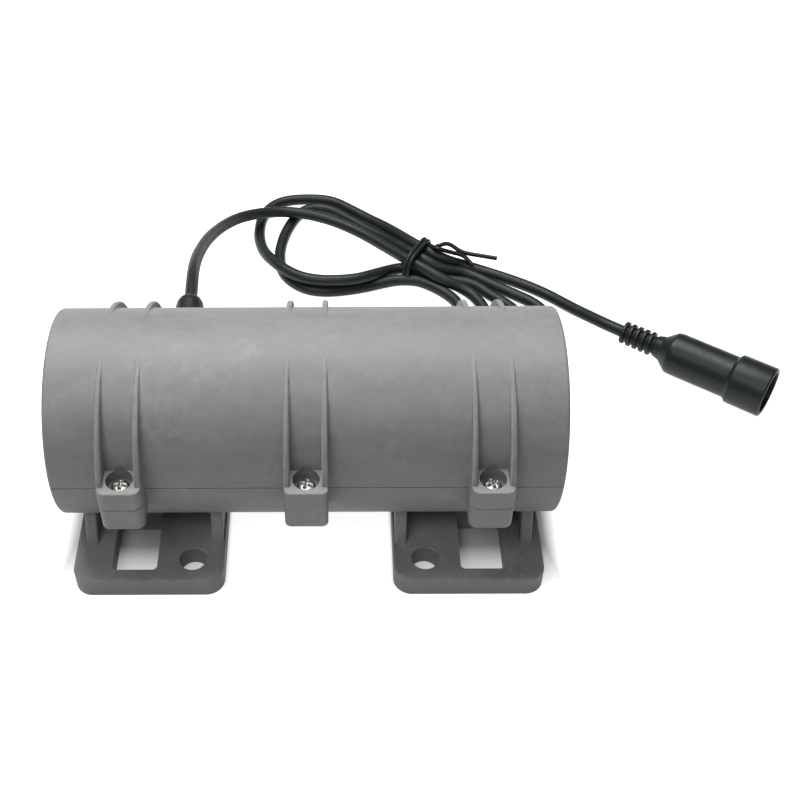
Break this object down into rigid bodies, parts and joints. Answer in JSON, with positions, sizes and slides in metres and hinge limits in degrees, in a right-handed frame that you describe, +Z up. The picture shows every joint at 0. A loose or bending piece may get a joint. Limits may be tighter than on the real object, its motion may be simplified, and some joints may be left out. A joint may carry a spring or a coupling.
{
  "type": "vibration motor",
  "caption": "Foot-mounted round vibration motor with grey two-part housing, screw bosses and fins, inner DC motor with eccentric weights, and a black power lead with round socket",
  "frame": {"origin": "on the mounting plane under the middle of the housing", "axes": "+X along the rotor shaft, +Y towards the side where the power lead leaves, +Z up"},
  "size_m": [0.1892, 0.1611, 0.057],
  "materials": {
    "housing_plastic": "fine matte moulded grain, mid grey",
    "zinc_screw": "bright zinc plate",
    "plated_steel": "zinc-plated drawn steel",
    "black_nylon": "black moulded nylon",
    "ferrite": "dark grey sintered ferrite",
    "spring_steel": "blank spring steel",
    "carbon": "pressed carbon",
    "brass_strip": "blank brass strip",
    "red_insulation": "red wire insulation",
    "black_insulation": "black wire insulation",
    "bearing_steel": "polished bearing steel",
    "cage_nylon": "natural nylon",
    "ground_steel": "ground steel",
    "core_steel": "stacked electrical steel",
    "core_insulation": "white fibre end plate",
    "enamelled_copper": "enamelled copper wire",
    "bare_copper": "turned copper",
    "weight_steel": "turned steel",
    "black_oxide_steel": "black oxide",
    "sleeve_rubber": "satin black rubber",
    "cord_jacket": "satin black cable jacket",
    "tie_plastic": "black plastic-coated wire",
    "connector_plastic": "satin black moulded connector",
    "connector_insert": "black insert",
    "contact_plating": "nickel-plated contact"
  },
  "bodies": {
    "root": {"upper_shell": "housing_plastic", "lower_shell": "housing_plastic", "housing_screws": "zinc_screw", "motor_can": "plated_steel", "brush_end_cover": "black_nylon", "magnet_front": "ferrite", "magnet_back": "ferrite", "magnet_clips": "spring_steel", "brushes": "carbon", "brush_holders": "brass_strip", "brush_springs": "spring_steel", "terminals": "brass_strip", "red_wire": "red_insulation", "black_wire": "black_insulation", "rear_bearing_outer_ring": "bearing_steel", "front_bearing_outer_ring": "bearing_steel", "strain_relief": "sleeve_rubber", "power_lead": "cord_jacket", "cable_hank": "cord_jacket", "twist_tie": "tie_plastic", "connector_lead": "cord_jacket", "connector_housing": "connector_plastic", "socket_insulator": "connector_insert", "socket_sleeve": "contact_plating", "socket_pin": "contact_plating"},
    "rotor": {"shaft": "ground_steel", "armature_core": "core_steel", "core_insulator_rear": "core_insulation", "core_insulator_front": "core_insulation", "armature_winding": "enamelled_copper", "commutator_hub": "black_nylon", "commutator_bars": "bare_copper", "shaft_spacer_rear": "brass_strip", "shaft_spacer_front": "brass_strip", "rear_bearing_inner_ring": "bearing_steel", "front_bearing_inner_ring": "bearing_steel", "eccentric_weight_left": "weight_steel", "eccentric_weight_right": "weight_steel", "weight_set_screws": "black_oxide_steel"},
    "rear_ball_cage": {"rear_bearing_balls": "bearing_steel", "rear_bearing_cage": "cage_nylon"},
    "front_ball_cage": {"front_bearing_balls": "bearing_steel", "front_bearing_cage": "cage_nylon"}
  },
  "joints": [
    {"name": "rotor_spin", "type": "hinge", "parent": "root", "child": "rotor", "pos_m": [0, 0, 0.032], "axis": [1, 0, 0], "continuous": true},
    {"name": "rear_cage_spin", "type": "hinge", "parent": "root", "child": "rear_ball_cage", "pos_m": [-0.0244, 0, 0.032], "axis": [1, 0, 0], "continuous": true},
    {"name": "front_cage_spin", "type": "hinge", "parent": "root", "child": "front_ball_cage", "pos_m": [0.0244, 0, 0.032], "axis": [1, 0, 0], "continuous": true}
  ],
  "couplings": [
    {"joint": "rear_cage_spin", "follows": "rotor_spin", "ratio": 0.3778},
    {"joint": "front_cage_spin", "follows": "rotor_spin", "ratio": 0.3778}
  ]
}
